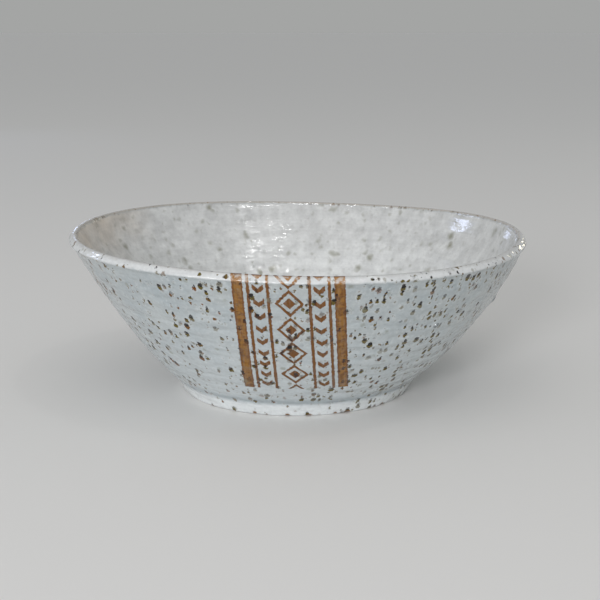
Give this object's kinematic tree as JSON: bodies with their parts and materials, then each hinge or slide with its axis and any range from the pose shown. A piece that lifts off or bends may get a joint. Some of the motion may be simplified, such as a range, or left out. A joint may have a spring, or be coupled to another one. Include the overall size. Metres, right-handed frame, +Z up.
{
  "type": "ceramic bowl",
  "caption": "Wide open stoneware bowl with a flared, slightly bellied wall, a bevelled lip and a low turned foot, in a speckled pale glaze with a brown panel on the front.",
  "frame": {"origin": "on the table, under the centre of the rim, which is the centre of the bottom of the bowl's box", "axes": "+Z up, -Y towards the decorated front, +X to the right of someone who faces that front"},
  "size_m": [0.1798, 0.1798, 0.0649],
  "materials": {
    "glazed_stoneware": "glossy pale grey-white glaze with dark iron specks, and a panel of brown slip down the front"
  },
  "bodies": {
    "root": {"bowl": "glazed_stoneware"}
  },
  "joints": []
}
